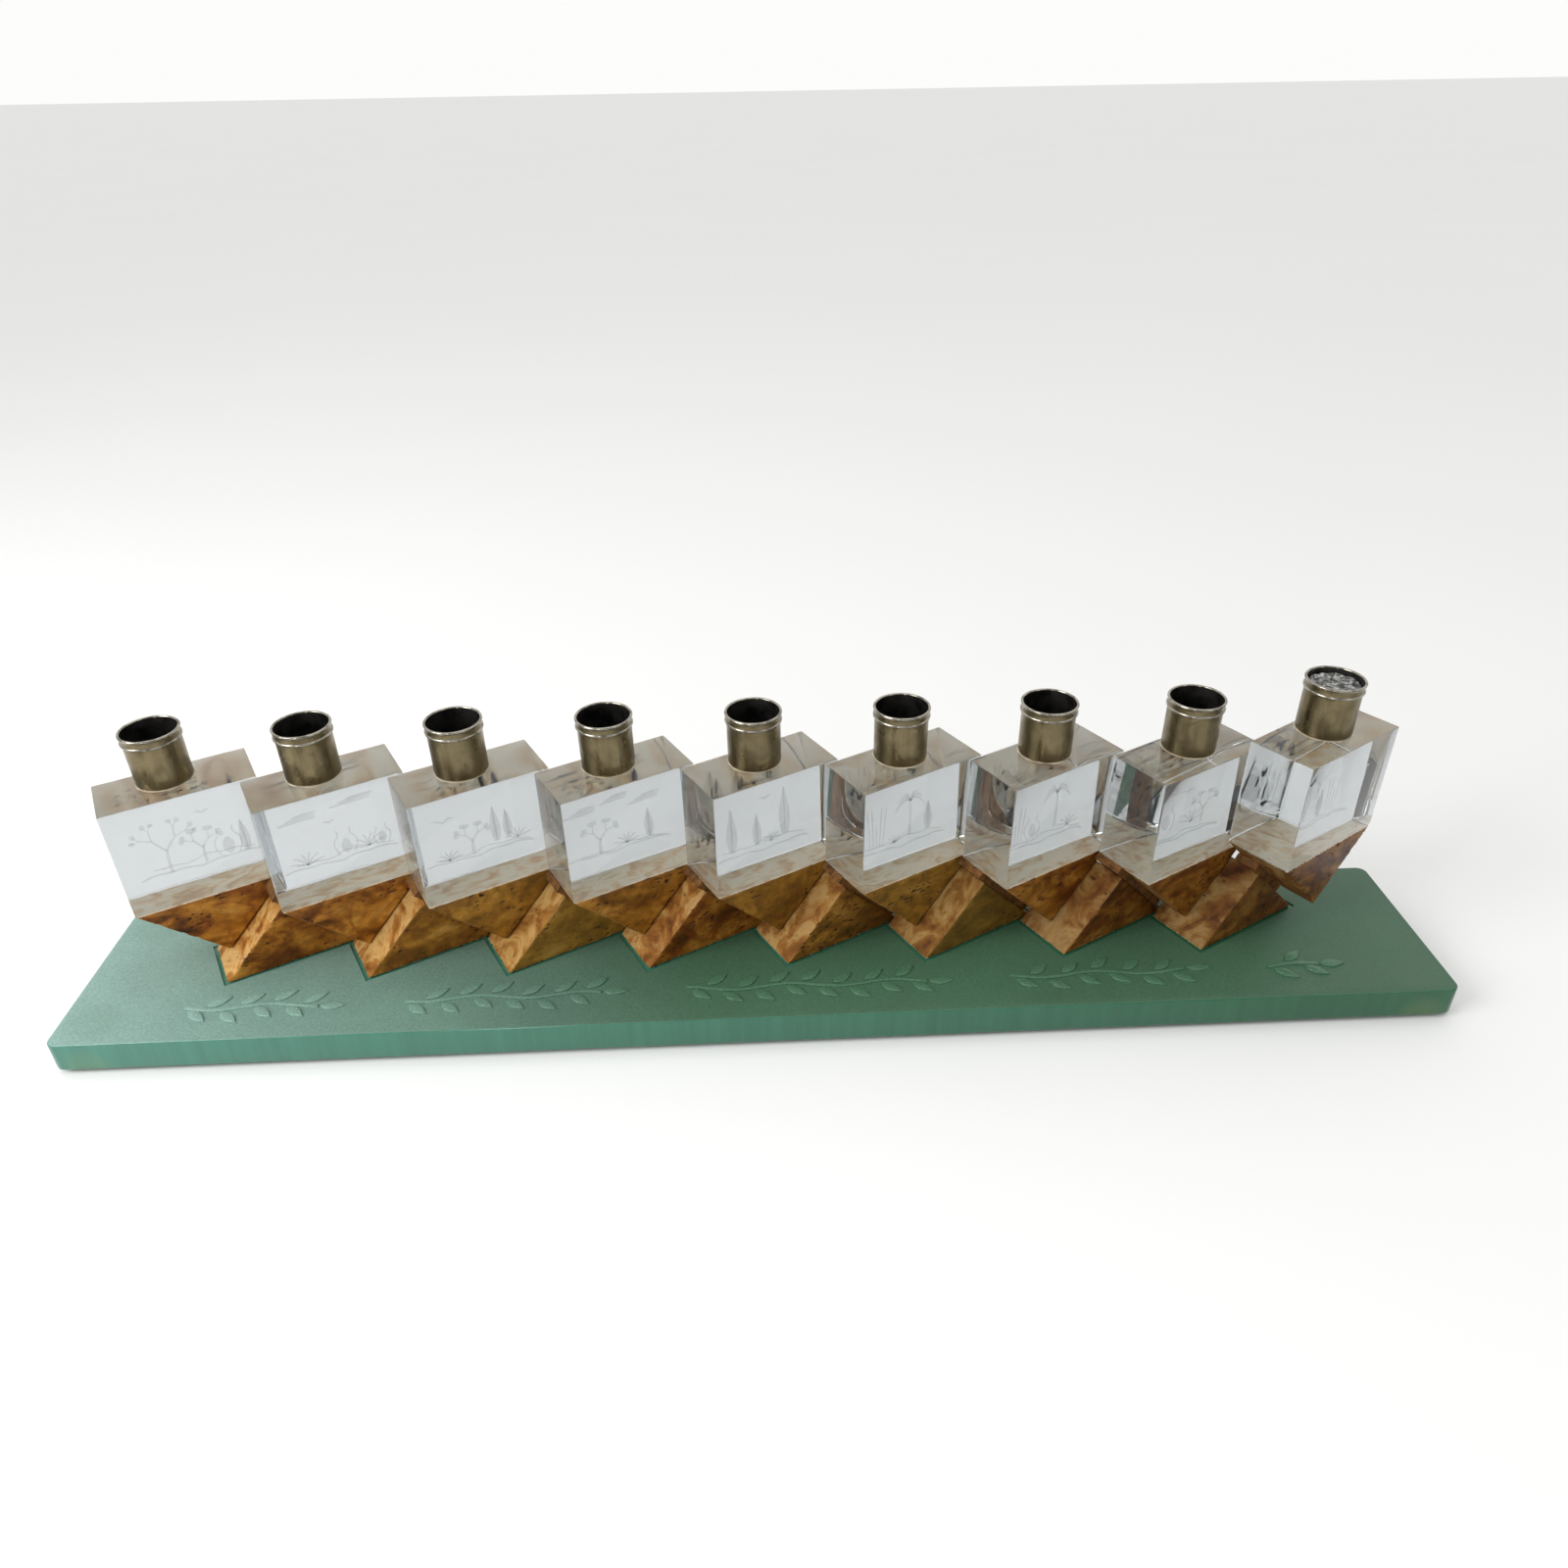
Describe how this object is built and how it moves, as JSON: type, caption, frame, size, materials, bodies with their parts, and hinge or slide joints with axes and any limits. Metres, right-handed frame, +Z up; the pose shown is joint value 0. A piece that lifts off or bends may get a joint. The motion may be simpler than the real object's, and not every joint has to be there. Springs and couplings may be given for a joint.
{
  "type": "menorah",
  "caption": "Menorah with stone wedges, clear blocks and metal candle cups standing in a stepped row on a frosted green glass plate.",
  "frame": {"origin": "middle of the glass plate in plan, at the underside of the feet", "axes": "+X along the plate to the raised light, +Y to the back, +Z up"},
  "size_m": [0.4, 0.0614, 0.0923],
  "materials": {
    "frosted_glass": "sandblasted top, polished edges, sea green",
    "foot_rubber": "translucent amber, soft",
    "stone_lower": "honed golden travertine with pits and veins",
    "stone_upper": "honed golden travertine with pits and veins",
    "clear_block": "polished clear block with faint etched scenery at the back",
    "nickel": "satin nickel body, bright rim and bead",
    "wax": "sooty grey wax crust"
  },
  "bodies": {
    "root": {"base_plate": "frosted_glass", "candle_cup_1": "nickel", "candle_cup_2": "nickel", "candle_cup_3": "nickel", "candle_cup_4": "nickel", "candle_cup_5": "nickel", "candle_cup_6": "nickel", "candle_cup_7": "nickel", "candle_cup_8": "nickel", "candle_cup_9": "nickel", "crystal_block_1": "clear_block", "crystal_block_2": "clear_block", "crystal_block_3": "clear_block", "crystal_block_4": "clear_block", "crystal_block_5": "clear_block", "crystal_block_6": "clear_block", "crystal_block_7": "clear_block", "crystal_block_8": "clear_block", "crystal_block_9": "clear_block", "foot_pad_back_left": "foot_rubber", "foot_pad_back_right": "foot_rubber", "foot_pad_front_left": "foot_rubber", "foot_pad_front_right": "foot_rubber", "lower_wedge_1": "stone_lower", "lower_wedge_2": "stone_lower", "lower_wedge_3": "stone_lower", "lower_wedge_4": "stone_lower", "lower_wedge_5": "stone_lower", "lower_wedge_6": "stone_lower", "lower_wedge_7": "stone_lower", "lower_wedge_8": "stone_lower", "upper_wedge_1": "stone_upper", "upper_wedge_2": "stone_upper", "upper_wedge_3": "stone_upper", "upper_wedge_4": "stone_upper", "upper_wedge_5": "stone_upper", "upper_wedge_6": "stone_upper", "upper_wedge_7": "stone_upper", "upper_wedge_8": "stone_upper", "upper_wedge_9": "stone_upper", "wax_residue": "wax"}
  },
  "joints": []
}
